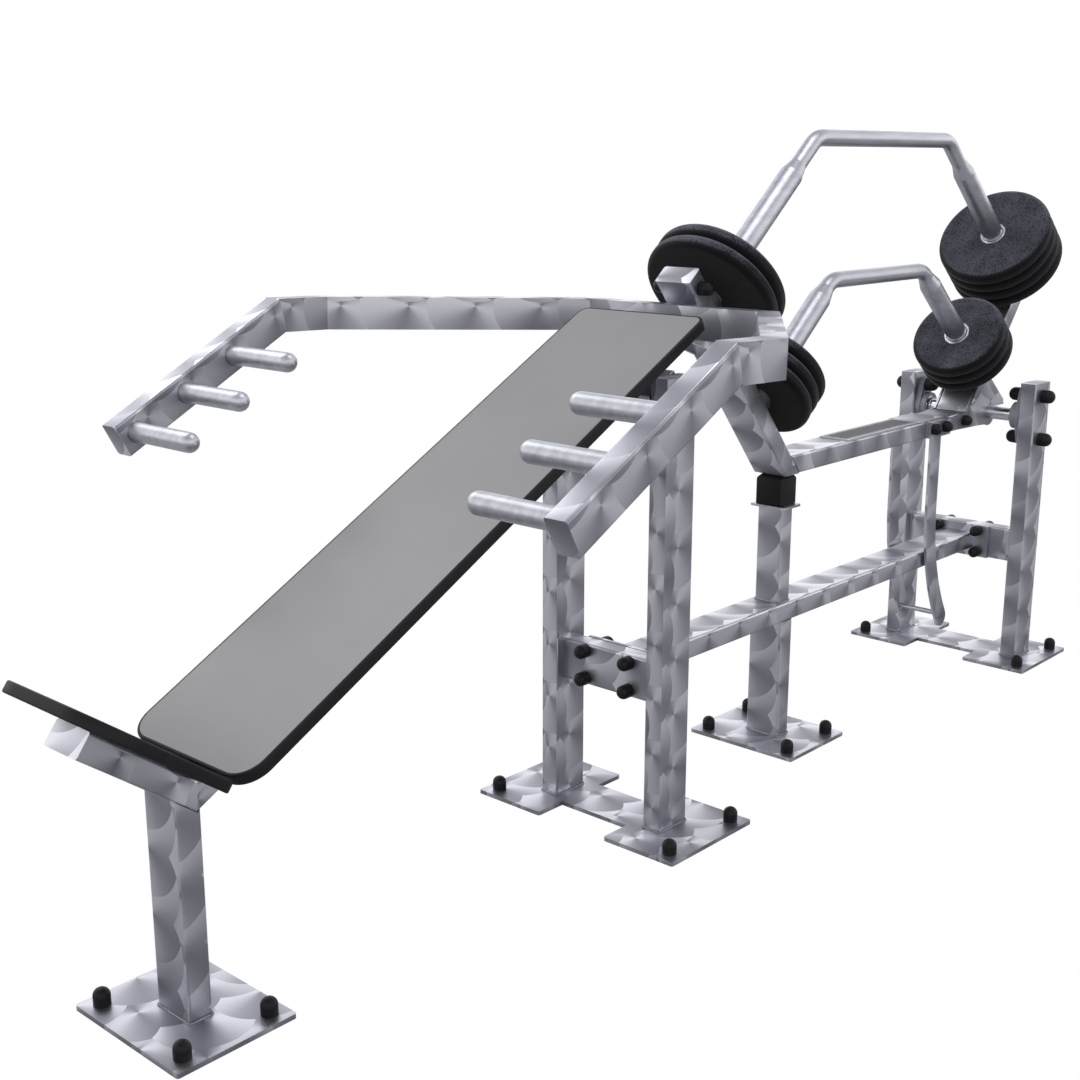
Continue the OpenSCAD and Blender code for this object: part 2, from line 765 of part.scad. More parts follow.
module hoop(front, rear, top) color(steel) {
    cut = hoop_bend * tan(spin_front / 2);
    front_l = rise(front, top) - cut;
    rear_l = rise(rear, top) - cut;
    span = rear[0] - front[0] - (rise(front, top) + rise(rear, top)) * cos(spin_front) - 2 * cut;
    on_spindle(front, spin_front) {
        hoop_run(front_l, 0, bend_lap);
        translate([0, 0, front_l]) hoop_turn() {
            hoop_run(span, bend_lap, bend_lap);
            translate([0, 0, span]) hoop_turn() hoop_run(rear_l, bend_lap, 0);
        }
    }
}

module outer_hoop() hoop(outer_front, outer_rear, outer_top);

module inner_hoop() hoop(inner_front, inner_rear, inner_top);

// Children stand on a spindle with +Z up along it
module on_spindle(start, lean) along(start, lean) rotate([0, 90, 0]) children();

// Sleeve tube with a ring at its foot and a turned cone at its head, both on the hoop tube
module sleeve(l) rotate_extrude() polygon([
    [hoop_d / 2, 0], [sleeve_d / 2, 0], [sleeve_d / 2, l], [hoop_d / 2 + cone_tip, l + cone_l],
    [hoop_d / 2, l + cone_l], [hoop_d / 2, l], [sleeve_d / 2 - sleeve_wall, l],
    [sleeve_d / 2 - sleeve_wall, sleeve_ring], [hoop_d / 2, sleeve_ring]]);

module spindle_sleeves() color(steel) {
    on_spindle(outer_front, spin_front) sleeve(outer_sleeve_l);
    on_spindle(inner_front, spin_front) sleeve(inner_sleeve_l);
    on_spindle(outer_rear, 180 - spin_front) sleeve(outer_sleeve_l);
    on_spindle(inner_rear, 180 - spin_front) sleeve(inner_sleeve_l);
}

module collar() rotate_extrude() polygon([
    [sleeve_d / 2, 0], [collar_d / 2, 0], [collar_d / 2, collar_l - collar_chamfer],
    [collar_d / 2 - collar_chamfer, collar_l], [sleeve_d / 2, collar_l]]);

module stop_collars() color(steel) {
    for (p = [outer_front, inner_front]) on_spindle(p, spin_front) collar();
    for (p = [outer_rear, inner_rear]) on_spindle(p, 180 - spin_front) collar();
}

// Rubber disc with round edges and a plain bore, the nth one on its spindle
module disc(start, lean, d, n) color(rubber) on_spindle(start, lean)
    translate([0, 0, collar_l + disc_gap + (n - 1) * (disc_t + disc_gap)]) rotate_extrude() difference() {
        union() {
            square([d / 2 - disc_round, disc_t]);
            translate([0, disc_round]) square([d / 2, disc_t - 2 * disc_round]);
            for (z = [disc_round, disc_t - disc_round]) translate([d / 2 - disc_round, z]) circle(disc_round);
        }
        translate([-1, -1]) square([sleeve_d / 2 + disc_play + 1, disc_t + 2]);
    }

module outer_front_disc(n) disc(outer_front, spin_front, outer_disc_d, n);

module outer_rear_disc(n) disc(outer_rear, 180 - spin_front, outer_disc_d, n);

module inner_front_disc(n) disc(inner_front, spin_front, inner_disc_d, n);

module inner_rear_disc(n) disc(inner_rear, 180 - spin_front, inner_disc_d, n);

// ---------------------------------------------------------------- handle frame

module handle_arm(side) color(steel) intersection() {
    translate([0, side * arm_y, 0]) along(arm_front, arm_angle) difference() {
        run(arm_l + arm_h, arm_h) section(arm_w, arm_h);
        translate([end_plate_t, 0, 0]) run(arm_l + arm_h, arm_h) hollow(arm_w, arm_h);
    }
    side_of(bend, bend_mitre + 180);
}

module handle_arm_left() handle_arm(1);

module handle_arm_right() handle_arm(-1);

// Plan of the rear part of the handle frame, inset by e on every side of the tube
function yoke_edge(w) = [
    [-arm_h, arms_w / 2 - w],
    [shoulder_l - w * tan(chamfer / 2), arms_w / 2 - w],
    [yoke_l - w, yoke_y - w * tan((90 - chamfer) / 2)],
    [yoke_l - w, -yoke_y + w * tan((90 - chamfer) / 2)],
    [shoulder_l - w * tan(chamfer / 2), -arms_w / 2 + w],
    [-arm_h, -arms_w / 2 + w]];

module yoke_plan(e) difference() {
    polygon(yoke_edge(e));
    translate([-1, 0]) polygon([for (p = yoke_edge(arm_w - e)) p + (p[0] < 0 ? [-1, 0] : [1, 0])]);
}

module handle_yoke() color(steel) intersection() {
    along(bend, -yoke_fall) difference() {
        translate([0, 0, -arm_h]) linear_extrude(arm_h) yoke_plan(0);
        translate([0, 0, tube_wall - arm_h]) linear_extrude(arm_h - 2 * tube_wall) yoke_plan(tube_wall);
    }
    side_of(bend, bend_mitre);
}

// Plates that fill the wedge between the cross tube and the front leg
bracket_t = 8;
bracket_drop = 45;
yoke_rear = from(bend, -yoke_fall, yoke_l);
yoke_under = from(yoke_rear, -90 - yoke_fall, arm_h);
bracket_low = from(leg_foot, leg_dir, (yoke_under[1] - bracket_drop - leg_bottom) / sin(leg_angle));

module yoke_brackets() color(steel) for (s = [-1, 1]) across(bracket_t, s * (tube_w - bracket_t) / 2)
    polygon([yoke_rear, bracket_low, from(yoke_under, 180 - yoke_fall, arm_w), yoke_under]);

// Round grips that point inwards from both arms, with round tips
module grip() rotate_extrude() {
    square([grip_d / 2, grip_l - grip_d / 2]);
    translate([0, grip_l - grip_d / 2]) intersection() {
        circle(grip_d / 2);
        square(grip_d);
    }
}

module hand_grips() color(bright) for (s = [-1, 1], i = [0:2])
    translate([0, s * (arms_w / 2 - arm_w), 0]) along(arm_front, arm_angle)
        translate([grip_first + i * grip_pitch, 0, -arm_h / 2]) rotate([s * 90, 0, 0]) grip();

// ---------------------------------------------------------------- stirrup

// The rod sits near the end of the curve
rod_at = [stirrup_x + 64, 137];

module stirrup_head() translate([stirrup_x + head_mid - head_l / 2, lever_bottom + head_inset])
    square([head_l, tube_h - 2 * head_inset]);

module stirrup_outline() difference() {
    union() {
        stirrup_head();
        translate([stirrup_x - stirrup_w / 2, stirrup_curve_z])
            square([stirrup_w, lever_z - head_inset - stirrup_curve_z]);
        translate([stirrup_x + stirrup_r, stirrup_curve_z]) {
            intersection() {
                difference() {
                    circle(stirrup_r + stirrup_w / 2, $fn = 180);
                    circle(stirrup_r - stirrup_w / 2, $fn = 180);
                }
                polygon([[0, 0], [-big, 0], [-big, -big * tan(stirrup_sweep)]]);
            }
            rotate(180 + stirrup_sweep) translate([stirrup_r, 0]) circle(stirrup_w / 2);
        }
    }
    for (x = stirrup_bolts) translate([x, lever_bolt_z]) circle(bolt_d / 2 + bolt_play);
    translate(rod_at) circle(rod_d / 2);
}

module stirrup_bars() color(steel) for (s = [-1, 1])
    across(stirrup_t, s * (bar_out - stirrup_t / 2)) stirrup_outline();

module stirrup_packers() color(steel) for (s = [-1, 1]) across(stirrup_t, s * (tube_w + stirrup_t) / 2)
    difference() {
        stirrup_head();
        for (x = stirrup_bolts) translate([x, lever_bolt_z]) circle(bolt_d / 2 + bolt_play);
    }

module stirrup_rod() color(bright) pin_y(rod_at, rod_d / 2, 2 * bar_out);

gusset_out = tube_w / 2 + gusset_t;

module lever_fasteners() {
    at_lever_bolts() children(0);
    translate([gusset_bolt, -gusset_out, lever_bolt_z]) rotate([-90, 0, 0]) children(1);
    translate([leg_bolt[0], -tube_w / 2, leg_bolt[1]]) rotate([-90, 0, 0]) children(2);
}

module lever_bolts() color(bright) lever_fasteners() {
    bolt(bolt_d / 2, 2 * bar_out, nut_r, low_nut_h);
    bolt(bolt_d / 2, 2 * gusset_out, nut_r, low_nut_h);
    bolt(bolt_d / 2, tube_w, nut_r, nut_h);
}

module lever_bolt_caps() color(cap_black) lever_fasteners() {
    both_ends(2 * bar_out) dome(bolt_cap_r, low_cap_h);
    both_ends(2 * gusset_out) dome(bolt_cap_r, low_cap_h);
    both_ends(tube_w) dome(bolt_cap_r, cap_h);
}

// ---------------------------------------------------------------- assembly

seat_base_plate();
seat_post();
seat_beam();
seat_board();
backrest_beam();
backrest_board();
board_screws();
front_base_plate();
front_column_left();
front_column_right();
front_crossbar();
backrest_crossbar();
lower_beam();
middle_base_plate();
middle_lower_post();
middle_upper_post();
rubber_buffer();
rear_base_plate();
rear_column_left();
rear_column_right();
rear_crossbar();
bearing_housings();
bearing_inserts();
frame_bolts();
frame_bolt_caps();
anchor_nuts();
anchor_caps();
pivot_shaft();
pivot_hub();
lever_beam();
nameplate();
front_leg();
rear_mast();
gusset_plates();
outer_hoop();
inner_hoop();
spindle_sleeves();
stop_collars();
handle_arm_left();
handle_arm_right();
handle_yoke();
yoke_brackets();
hand_grips();
stirrup_bars();
stirrup_rod();
stirrup_packers();
lever_bolts();
lever_bolt_caps();
outer_front_disc(1);  // outer_front_disc_1
outer_front_disc(2);  // outer_front_disc_2
outer_rear_disc(1);  // outer_rear_disc_1
outer_rear_disc(2);  // outer_rear_disc_2
outer_rear_disc(3);  // outer_rear_disc_3
outer_rear_disc(4);  // outer_rear_disc_4
inner_front_disc(1);  // inner_front_disc_1
inner_front_disc(2);  // inner_front_disc_2
inner_front_disc(3);  // inner_front_disc_3
inner_rear_disc(1);  // inner_rear_disc_1
inner_rear_disc(2);  // inner_rear_disc_2
inner_rear_disc(3);  // inner_rear_disc_3
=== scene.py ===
"""Looks of an outdoor olympic bench press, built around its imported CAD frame."""

import math

import bmesh
import bpy
from mathutils import Matrix, Vector


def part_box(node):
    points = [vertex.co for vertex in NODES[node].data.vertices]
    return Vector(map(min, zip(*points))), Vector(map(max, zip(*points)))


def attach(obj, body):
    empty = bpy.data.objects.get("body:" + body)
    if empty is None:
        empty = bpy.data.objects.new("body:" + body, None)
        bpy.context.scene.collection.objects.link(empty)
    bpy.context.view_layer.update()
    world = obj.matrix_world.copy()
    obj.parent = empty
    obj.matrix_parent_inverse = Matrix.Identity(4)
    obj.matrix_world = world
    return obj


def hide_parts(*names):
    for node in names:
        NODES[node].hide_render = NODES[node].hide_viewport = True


bl_info = {
    "name": "Olympic bench press",
    "version": (1, 0, 0),
    "blender": (4, 5, 0),
    "location": "3D View > Sidebar > Bench Press",
    "description": "Finishes and detail pieces for an outdoor olympic bench press",
    "category": "Object",
}

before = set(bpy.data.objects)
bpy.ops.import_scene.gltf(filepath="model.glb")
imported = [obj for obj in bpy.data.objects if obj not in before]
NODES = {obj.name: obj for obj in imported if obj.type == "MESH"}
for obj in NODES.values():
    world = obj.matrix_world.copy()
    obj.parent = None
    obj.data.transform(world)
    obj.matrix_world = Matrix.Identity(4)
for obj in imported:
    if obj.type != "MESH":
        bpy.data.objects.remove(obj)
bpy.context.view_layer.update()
BENCH, LEVER = "bench_frame", "lever_frame"
MM = 0.001


# ---------------------------------------------------------------- sizes and colours

def srgb(code):
    """Linear colour from an sRGB hex value."""
    parts = [int(code[i:i + 2], 16) / 255 for i in (1, 3, 5)]
    return [p / 12.92 if p <= 0.04045 else ((p + 0.055) / 1.055) ** 2.4 for p in parts] + [1.0]


class BenchBoards(bpy.types.PropertyGroup):
    face_light: bpy.props.FloatVectorProperty(
        name="Laminate light", description="Lighter colour of the satin laminate faces",
        subtype="COLOR", default=srgb("#7e7e7e")[:3])
    face_dark: bpy.props.FloatVectorProperty(
        name="Laminate dark", description="Darker colour of the satin laminate faces",
        subtype="COLOR", default=srgb("#797979")[:3])
    edge_round: bpy.props.FloatProperty(
        name="Edge radius", description="Rounding of the milled board edge",
        default=3 * MM, min=0.5 * MM, max=6 * MM, unit="LENGTH")
    face_inset: bpy.props.FloatProperty(
        name="Black edge", description="Width of the black core that shows beside the face",
        default=2.2 * MM, min=0.5 * MM, max=6 * MM, unit="LENGTH")


class BenchSteel(bpy.types.PropertyGroup):
    swirl_pitch: bpy.props.FloatProperty(
        name="Swirl pitch", description="Distance between two passes of the grinding disc",
        default=104 * MM, min=50 * MM, max=160 * MM, unit="LENGTH")
    swirl_row: bpy.props.FloatProperty(
        name="Swirl row", description="Distance between two rows of passes across the tube",
        default=84 * MM, min=30 * MM, max=120 * MM, unit="LENGTH")
    swirl_radius: bpy.props.FloatProperty(
        name="Swirl radius", description="Radius of the grinding disc",
        default=76 * MM, min=60 * MM, max=110 * MM, unit="LENGTH")
    weld_width: bpy.props.FloatProperty(
        name="Weld width", description="Width of the fillet welds",
        default=3 * MM, min=2 * MM, max=8 * MM, unit="LENGTH")


class BenchDiscs(bpy.types.PropertyGroup):
    bush_radius: bpy.props.FloatProperty(
        name="Bush radius", description="Outer radius of the steel bush in a disc",
        default=30 * MM, min=27 * MM, max=40 * MM, unit="LENGTH")
    # The dust colour is the lightest rubber tone. It shows on up-facing faces, where painted top light adds to real
    # dust.
    dust: bpy.props.FloatVectorProperty(
        name="Dust", description="Colour of the rubber where dust settles on it",
        subtype="COLOR", default=srgb("#4e4f59")[:3])
    grain: bpy.props.FloatProperty(
        name="Grain", description="Size of the rubber grains",
        default=3.2 * MM, min=1 * MM, max=5 * MM, unit="LENGTH")


def settings(name):
    """One of the groups of settings, as kept on the scene."""
    return getattr(bpy.context.scene, name)


# ---------------------------------------------------------------- material tools

def add(tree, kind, links=None, **values):
    """Adds one node, sets its properties and inputs, and links its inputs."""
    made = tree.nodes.new(kind)
    for key, value in values.items():
        if key.startswith("in_"):
            made.inputs[int(key[3:])].default_value = value
        else:
            setattr(made, key, value)
    for key, source in (links or {}).items():
        tree.links.new(source, made.inputs[key])
    return made


def calc(tree, operation, a, b=None):
    """One sum on numbers or sockets."""
    made = add(tree, "ShaderNodeMath", operation=operation)
    for i, value in enumerate((a, b)):
        if isinstance(value, (int, float)):
            made.inputs[i].default_value = value
        elif value is not None:
            tree.links.new(value, made.inputs[i])
    return made.outputs[0]


def pick(tree, factor, a, b):
    """Number a where factor is 0 and b where it is 1."""
    made = add(tree, "ShaderNodeMix", {0: factor}, data_type="FLOAT")
    for i, value in ((2, a), (3, b)):
        if isinstance(value, (int, float)):
            made.inputs[i].default_value = value
        else:
            tree.links.new(value, made.inputs[i])
    return made.outputs[0]


def new_material(name, metallic=0.0, roughness=0.5, **sockets):
    """A node material; sockets are more inputs of its shader, with _ for a space."""
    made = bpy.data.materials.new(name)
    made.use_nodes = True
    tree = made.node_tree
    shader = tree.nodes["Principled BSDF"]
    shader.inputs["Metallic"].default_value = metallic
    shader.inputs["Roughness"].default_value = roughness
    for key, value in sockets.items():
        shader.inputs[key.replace("_", " ")].default_value = value
    return made, tree, shader


def ramp(tree, source, *stops):
    """Colour ramp over source; each stop is (place, hex colour or linear colour)."""
    made = add(tree, "ShaderNodeValToRGB", {0: source})
    bar = made.color_ramp.elements
    while len(bar) < len(stops):
        bar.new(0.5)
    for element, (place, colour) in zip(bar, stops):
        element.position = place
        element.color = srgb(colour) if isinstance(colour, str) else (*colour, 1.0)
    return made.outputs[0]


def bump(tree, shader, height, depth, strength=0.5):
    """Raises the shader's surface by height, up to depth in metres."""
    made = add(tree, "ShaderNodeBump", {"Height": height}, in_0=strength, in_1=depth)
    tree.links.new(made.outputs[0], shader.inputs["Normal"])


def object_noise(tree, grain, detail=4.0, stretch=(1, 1, 1), lean=0.0):
    """Noise over the piece; grain is the size of one speck in metres."""
    coord = add(tree, "ShaderNodeTexCoord")
    place = add(tree, "ShaderNodeMapping", {0: coord.outputs["Object"]})
    place.inputs["Rotation"].default_value = (0, lean, 0)
    place.inputs["Scale"].default_value = [s / grain for s in stretch]
    return add(tree, "ShaderNodeTexNoise", {0: place.outputs[0]}, in_2=1.0, in_3=detail).outputs[0]


# ---------------------------------------------------------------- materials

def swirled_steel(name, lean):
    """Stainless steel, ground with a rotary disc in overlapping passes along the tube: each pass leaves a scalloped
    fan. The fan's turn from bright to dark round its centre is a painted reflection of the circular grinding lines,
    set in the base colour. lean is the tube's angle from +X towards +Z."""
    steel = settings("bench_steel")
    pitch, reach, across = steel.swirl_pitch, steel.swirl_radius, steel.swirl_row
    end_facing, side_facing, side_shift, row_shift = 0.7, 0.5, 0.3 * pitch, 0.5 * across
    painted_sheen_edge, turn_by_luck, line_pitch = 1.6, 0.7, 1.2 * MM
    painted_sheen_share, luck_share, line_share = 0.66, 0.2, 0.12
    made, tree, shader = new_material(name, metallic=1.0, roughness=0.34)
    coord = add(tree, "ShaderNodeTexCoord")
    sides = []
    for output in ("Object", "Normal"):
        turned = add(tree, "ShaderNodeVectorRotate", {"Vector": coord.outputs[output]}, rotation_type="Y_AXIS")
        turned.inputs["Angle"].default_value = math.radians(lean)
        sides.append(add(tree, "ShaderNodeSeparateXYZ", {0: turned.outputs[0]}).outputs)
    place, facing = sides
    on_end = calc(tree, "GREATER_THAN", calc(tree, "ABSOLUTE", facing[0]), end_facing)
    on_side = calc(tree, "GREATER_THAN", calc(tree, "ABSOLUTE", facing[1]), side_facing)
    u = calc(tree, "ADD", pick(tree, on_end, place[0], place[2]), calc(tree, "MULTIPLY", on_side, side_shift))
    v = calc(tree, "ADD", pick(tree, on_side, place[1], place[2]), row_shift)
    # Row: the last pass whose scalloped edge covers the point
    step = calc(tree, "DIVIDE", u, pitch)
    du = calc(tree, "MULTIPLY", calc(tree, "SUBTRACT", step, calc(tree, "ROUND", step)), pitch)
    arc = calc(tree, "SQRT", calc(tree, "SUBTRACT", reach ** 2, calc(tree, "POWER", du, 2.0)))
    row = calc(tree, "FLOOR", calc(tree, "DIVIDE", calc(tree, "ADD", v, arc), across))
    dv = calc(tree, "SUBTRACT", v, calc(tree, "MULTIPLY", row, across))
    shifted = calc(tree, "ADD", u, calc(tree, "MULTIPLY", row, 0.5 * pitch))
    arc = calc(tree, "SQRT", calc(tree, "MAXIMUM",
               calc(tree, "SUBTRACT", reach ** 2, calc(tree, "POWER", dv, 2.0)), 0.0))
    column = calc(tree, "FLOOR", calc(tree, "DIVIDE", calc(tree, "ADD", shifted, arc), pitch))
    local_u = calc(tree, "SUBTRACT", shifted, calc(tree, "MULTIPLY", column, pitch))
    chance = add(tree, "ShaderNodeTexWhiteNoise", noise_dimensions="2D")
    spot = add(tree, "ShaderNodeCombineXYZ", {0: column, 1: row})
    tree.links.new(spot.outputs[0], chance.inputs["Vector"])
    luck = chance.outputs["Value"]
    # Painted reflection: each fan is brightest along two opposite wedges round its centre, as light would glint off
    # the circular grinding lines
    angle = calc(tree, "ARCTAN2", dv, local_u)
    turn = calc(tree, "ADD", angle, calc(tree, "MULTIPLY", luck, turn_by_luck))
    painted_fan_sheen = calc(tree, "POWER", calc(tree, "ABSOLUTE", calc(tree, "COSINE", turn)), painted_sheen_edge)
    radius = calc(tree, "SQRT", calc(tree, "ADD", calc(tree, "POWER", dv, 2.0), calc(tree, "POWER", local_u, 2.0)))
    # The real grinding lines are about 0.1 mm apart: drawn coarser so that they show
    ring_line = add(tree, "ShaderNodeTexNoise", noise_dimensions="1D", in_3=3.0)
    tree.links.new(calc(tree, "DIVIDE", radius, line_pitch), ring_line.inputs["W"])
    ring_line.inputs["Scale"].default_value = 1.0
    lines = ring_line.outputs[0]
    finer = calc(tree, "ADD", calc(tree, "MULTIPLY", luck, luck_share), calc(tree, "MULTIPLY", lines, line_share))
    tone = calc(tree, "ADD", calc(tree, "MULTIPLY", painted_fan_sheen, painted_sheen_share), finer)
    # The steel's colour carries the painted fan reflection, the random tone of each fan and the grinding lines
    colour = ramp(tree, tone, (0.04, "#7b7c83"), (0.45, "#9fa0a7"), (0.9, "#d2d3d9"))
    tree.links.new(colour, shader.inputs["Base Color"])
    rough = calc(tree, "ADD", 0.4, calc(tree, "MULTIPLY", painted_fan_sheen, -0.1))
    tree.links.new(calc(tree, "ADD", rough, calc(tree, "MULTIPLY", lines, 0.08)), shader.inputs["Roughness"])
    bump(tree, shader, lines, 0.05 * MM, 0.25)
    return made


def polished_round_steel(name, lean=0.0, light="#bcbdc3", dark="#a6a8ae"):
    """Stainless round tube, belt polished: faint long streaks along the tube and a soft sheen."""
    made, tree, shader = new_material(name, metallic=1.0, roughness=0.36)
    streak = object_noise(tree, 14 * MM, 3.0, (0.1, 1, 1), math.radians(lean))
    tree.links.new(ramp(tree, streak, (0.3, dark), (0.7, light)), shader.inputs["Base Color"])
    line = object_noise(tree, 1.2 * MM, 2.0, (0.04, 1, 1), math.radians(lean))
    tree.links.new(calc(tree, "ADD", 0.34, calc(tree, "MULTIPLY", line, 0.1)), shader.inputs["Roughness"])
    bump(tree, shader, line, 0.02 * MM, 0.12)
    return made


def laminate_face():
    """Compact laminate with a satin printed face: even grey with a very fine orange peel."""
    made, tree, shader = new_material("compact_laminate_satin_face", roughness=0.38)
    boards = settings("bench_boards")
    cloud = object_noise(tree, 160 * MM, 3.0)
    tree.links.new(ramp(tree, cloud, (0.3, boards.face_dark), (0.7, boards.face_light)), shader.inputs["Base Color"])
    peel = object_noise(tree, 1.1 * MM, 2.0)
    tree.links.new(calc(tree, "ADD", 0.33, calc(tree, "MULTIPLY", peel, 0.12)), shader.inputs["Roughness"])
    bump(tree, shader, peel, 0.03 * MM, 0.25)
    return made


def laminate_core():
    """Phenolic core of compact laminate, milled: black with faint layers."""
    made, tree, shader = new_material("compact_laminate_milled_core", roughness=0.5, Specular_IOR_Level=0.2)
    layer = object_noise(tree, 2.0 * MM, 3.0)
    tree.links.new(ramp(tree, layer, (0.35, "#0d0d0f"), (0.7, "#18181b")), shader.inputs["Base Color"])
    bump(tree, shader, layer, 0.05 * MM, 0.3)
    return made


def granulate_rubber():
    """Moulded rubber granulate: matt black grains and dust blotches, greyer where it looks up from dust and painted
    top light, and darker where it looks down from painted shade.
    """
    discs = settings("bench_discs")
    made, tree, shader = new_material("rubber_granulate_moulded", roughness=0.85, Specular_IOR_Level=0.12,
                                      Sheen_Weight=0.12, Sheen_Roughness=0.5)
    coord = add(tree, "ShaderNodeTexCoord")
    grain = add(tree, "ShaderNodeTexVoronoi", {"Vector": coord.outputs["Object"]})
    grain.inputs["Scale"].default_value = 1 / discs.grain
    height = calc(tree, "SUBTRACT", 1.0, grain.outputs["Distance"])
    dust = object_noise(tree, 40 * MM, 4.0)
    even, grain_share, dust_share, painted_underside_shade = 0.3, 0.3, 0.3, 0.45
    tone = calc(tree, "ADD", calc(tree, "MULTIPLY", height, grain_share), calc(tree, "MULTIPLY", dust, dust_share))
    tone = calc(tree, "ADD", tone, even)
    # Dust and painted top light: the tone is lifted where the rubber looks up and held down to a painted shade where
    # it looks down
    facing = add(tree, "ShaderNodeSeparateXYZ", {0: add(tree, "ShaderNodeNewGeometry").outputs["Normal"]}).outputs[2]
    painted_top_light = calc(tree, "MAXIMUM", facing, 0.0)
    tone = calc(tree, "MULTIPLY", tone, calc(tree, "ADD", painted_underside_shade, painted_top_light))
    # The lightest stop, the dust colour, is reached where painted top light and the dust blotches lift the tone
    tree.links.new(ramp(tree, tone, (0.25, "#060608"), (0.5, "#121216"), (0.85, discs.dust)),
                   shader.inputs["Base Color"])
    bump(tree, shader, height, 0.5 * MM, 0.6)
    return made


def smooth_black(name, grain, colours, roughness):
    """Moulded black polymer with a fine eroded mould texture."""
    made, tree, shader = new_material(name, roughness=roughness, Specular_IOR_Level=0.2)
    speck = object_noise(tree, grain, 3.0)
    tree.links.new(ramp(tree, speck, (0.3, colours[0]), (0.75, colours[1])), shader.inputs["Base Color"])
    bump(tree, shader, speck, 0.06 * MM, 0.25)
    return made


def ground_steel():
    """Ground bearing steel: bright, with fine turning lines."""
    made, tree, shader = new_material("bearing_steel_ground", metallic=1.0, roughness=0.22)
    line = object_noise(tree, 1.0 * MM, 2.0, (1, 1, 1))
    tree.links.new(ramp(tree, line, (0.3, "#b9bbc0"), (0.7, "#e2e3e6")), shader.inputs["Base Color"])
    tree.links.new(calc(tree, "ADD", 0.16, calc(tree, "MULTIPLY", line, 0.16)), shader.inputs["Roughness"])
    return made


def cast_housing():
    """Grey iron casting under satin enamel: soft orange peel over a sand texture."""
    made, tree, shader = new_material("cast_iron_enamelled", roughness=0.45)
    sand = object_noise(tree, 2.5 * MM, 4.0)
    tree.links.new(ramp(tree, sand, (0.3, "#6c7178"), (0.7, "#868b92")), shader.inputs["Base Color"])
    bump(tree, shader, sand, 0.25 * MM, 0.4)
    return made


def zinc_plate():
    """Zinc plated fasteners: pale, slightly blotchy."""
    made, tree, shader = new_material("zinc_plated_steel", metallic=1.0, roughness=0.35)
    blotch = object_noise(tree, 6 * MM, 3.0)
    tree.links.new(ramp(tree, blotch, (0.3, "#a9adb3"), (0.7, "#d3d6da")), shader.inputs["Base Color"])
    return made


def weld_metal():
    """TIG weld in stainless: overlapping ripples, straw to blue tint."""
    made, tree, shader = new_material("stainless_tig_weld", metallic=1.0, roughness=0.38)
    ripple = object_noise(tree, 2.2 * MM, 2.0)
    tint = ramp(tree, ripple, (0.3, "#606167"), (0.6, "#84858b"), (0.8, "#918d86"))
    tree.links.new(tint, shader.inputs["Base Color"])
    bump(tree, shader, ripple, 0.3 * MM, 0.6)
    return made


def etched_plate():
    """Nameplate field: stainless, etched and filled dark, left blank."""
    made, tree, shader = new_material("stainless_etched_dark", roughness=0.5, Specular_IOR_Level=0.15)
    field = object_noise(tree, 1.5 * MM, 3.0)
    tree.links.new(ramp(tree, field, (0.3, "#34353a"), (0.7, "#4b4c51")), shader.inputs["Base Color"])
    bump(tree, shader, field, 0.08 * MM, 0.3)
    return made


# ---------------------------------------------------------------- mesh tools

def finish_mesh(name, bm, materials, body, stands_for=(), smooth=35.0):
    """Turns a bmesh in the row frame into a piece that rides on a body."""
    mesh = bpy.data.meshes.new(name)
    bmesh.ops.recalc_face_normals(bm, faces=bm.faces)
    bm.to_mesh(mesh)
    bm.free()
    piece = bpy.data.objects.new(name, mesh)
    bpy.context.scene.collection.objects.link(piece)
    for material in materials:
        mesh.materials.append(material)
    mesh.shade_smooth()
    mesh.set_sharp_from_angle(angle=math.radians(smooth))
    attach(piece, body)
    if stands_for:
        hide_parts(*stands_for)
    return piece


def dress(names, material):
    """Gives CAD nodes a material."""
    for name in names:
        slots = NODES[name].data.materials
        slots.clear()
        slots.append(material)


def placed(origin, along, up):
    """Matrix of a frame with +X along and +Z up at origin."""
    x = Vector(along).normalized()
    z = Vector(up)
    z = (z - x * z.dot(x)).normalized()
    y = z.cross(x)
    made = Matrix((x, y, z)).transposed().to_4x4()
    made.translation = Vector(origin)
    return made


def lathe(bm, profile, place, steps=96):
    """Spins a closed profile of (radius, height) points round +Z of place, into bm."""
    old = set(bm.verts)
    verts = [bm.verts.new((r, 0, z)) for r, z in profile]
    edges = [bm.edges.new((a, b)) for a, b in zip(verts, verts[1:] + verts[:1])]
    bmesh.ops.spin(bm, geom=verts + edges, cent=(0, 0, 0), axis=(0, 0, 1),
                   angle=math.tau, steps=steps, use_merge=True)
    bmesh.ops.transform(bm, matrix=place, verts=[v for v in bm.verts if v not in old])


def block(bm, place, size):
    """Adds a box of that size whose lowest face is centred on place; returns its vertices."""
    shape = place @ Matrix.Translation((0, 0, size[2] / 2)) @ Matrix.Diagonal((*size, 1))
    return bmesh.ops.create_cube(bm, size=1, matrix=shape)["verts"]


def edges_of(verts, along=None):
    """Edges of a group of vertices, all of them or those parallel to a direction."""
    found = {e for v in verts for e in v.link_edges if e.other_vert(v) in verts}
    if along is None:
        return list(found)
    return [e for e in found
            if abs((e.verts[0].co - e.verts[1].co).normalized().dot(along)) > 0.99]


def bevel(bm, edges, offset, segments):
    """Rounds edges, or cuts them flat with one segment."""
    return bmesh.ops.bevel(bm, geom=edges, offset=offset, offset_type="OFFSET", affect="EDGES",
                           segments=segments, profile=0.5, material=-1)


def direction(angle):
    """Unit vector in the XZ plane at an angle from +X towards +Z."""
    return Vector((math.cos(math.radians(angle)), 0, math.sin(math.radians(angle))))


# ---------------------------------------------------------------- places taken from the CAD frame

